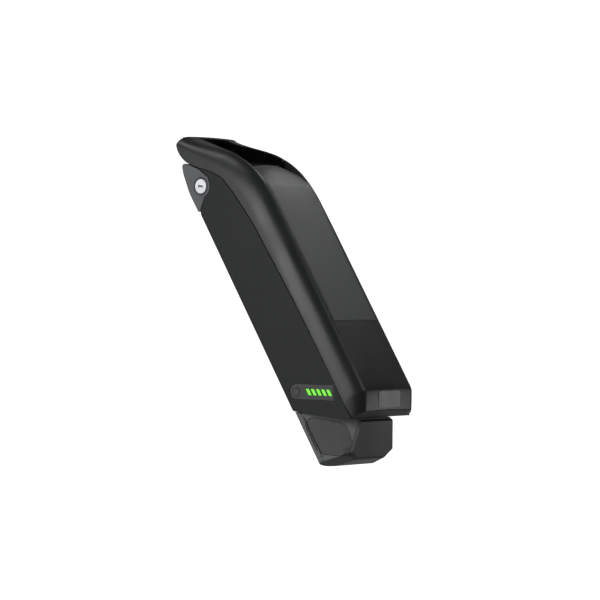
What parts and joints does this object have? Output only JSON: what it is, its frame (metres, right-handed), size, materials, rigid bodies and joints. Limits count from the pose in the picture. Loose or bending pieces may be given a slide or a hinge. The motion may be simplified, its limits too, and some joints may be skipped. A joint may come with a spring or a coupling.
{
  "type": "bicycle battery pack",
  "caption": "Removable bicycle battery pack on a lower contact holder and an upper key-lock holder, with charge lights, a button, a finger recess, inner cells and a charging port under a flap.",
  "frame": {"origin": "middle of the base, on the plane of the two base plates that lie on the bicycle's tube", "axes": "+X up the tube, towards the lock and the nose; +Y towards the side with the lock and the lights; +Z outward from the tube"},
  "size_m": [0.3652, 0.092, 0.082],
  "materials": {
    "case_dark": "satin",
    "cover_dark": "satin",
    "panel_grey": "satin",
    "gloss_black": "gloss",
    "soft_black": "matt",
    "pad_grey": "matt",
    "strip_black": "satin",
    "light_green": "gloss",
    "button_black": "satin",
    "holder_grey": "satin",
    "holder_dark": "satin",
    "flap_grey": "satin",
    "cell_wrap": "gloss",
    "frame_plastic": "satin",
    "nickel": "satin",
    "board_green": "satin",
    "chip_black": "satin",
    "fuse_red": "gloss",
    "wire_red": "matt",
    "wire_black": "matt",
    "ribbon_grey": "matt",
    "foam_grey": "matt",
    "contact_gold": "satin",
    "steel": "satin",
    "chrome_face": "polished",
    "barrel_dark": "satin"
  },
  "bodies": {
    "pack": {"lower_tray": "case_dark", "outer_cover": "cover_dark", "seam_gasket": "soft_black", "front_panel": "panel_grey", "grip_insert": "gloss_black", "end_pad": "pad_grey", "indicator_plate": "strip_black", "led_lenses": "light_green", "button_switch": "chip_black", "indicator_board": "board_green", "cells_row_1": "cell_wrap", "cells_row_2": "cell_wrap", "cells_row_3": "cell_wrap", "cells_row_4": "cell_wrap", "cell_holder_left": "frame_plastic", "cell_holder_right": "frame_plastic", "busbars_left": "nickel", "busbars_right": "nickel", "bms_board": "board_green", "bms_parts": "chip_black", "fuse": "fuse_red", "positive_lead": "wire_red", "negative_lead": "wire_black", "balance_ribbon": "ribbon_grey", "foam_strips": "foam_grey", "discharge_socket": "holder_dark", "socket_contacts": "contact_gold", "latch_striker": "steel", "case_screws": "steel"},
    "button": {"power_button": "button_black"},
    "holders": {"upper_base_plate": "steel", "lock_housing": "holder_grey", "lock_bezel": "holder_grey", "lock_barrel": "barrel_dark", "upper_holder_screws": "steel", "lower_base_plate": "steel", "lower_holder_shell": "holder_grey", "lower_holder_front": "holder_dark", "contact_block": "holder_dark", "contact_blades": "contact_gold", "charge_socket": "chip_black", "charge_pins": "contact_gold", "flap_pin": "steel", "lower_holder_screws": "steel"},
    "key": {"lock_plug": "chrome_face", "lock_cam": "steel", "latch_tongue": "steel"},
    "flap": {"charge_flap": "flap_grey"}
  },
  "joints": [
    {"name": "pack_tilt", "type": "hinge", "parent": "holders", "child": "pack", "pos_m": [-0.15693, 0, 0.0535], "axis": [0, -1, 0], "range_deg": [0, 15]},
    {"name": "button_press", "type": "slide", "parent": "pack", "child": "button", "axis": [0, -1, 0], "range_m": [0, 0.0008], "stiffness_N_per_m": 400},
    {"name": "key_turn", "type": "hinge", "parent": "holders", "child": "key", "pos_m": [0.12677, 0, 0.0174], "axis": [0, 1, 0], "range_deg": [0, 90]},
    {"name": "flap_open", "type": "hinge", "parent": "holders", "child": "flap", "pos_m": [-0.14693, 0.0406, 0.0071], "axis": [-1, 0, 0], "range_deg": [0, 100]}
  ]
}
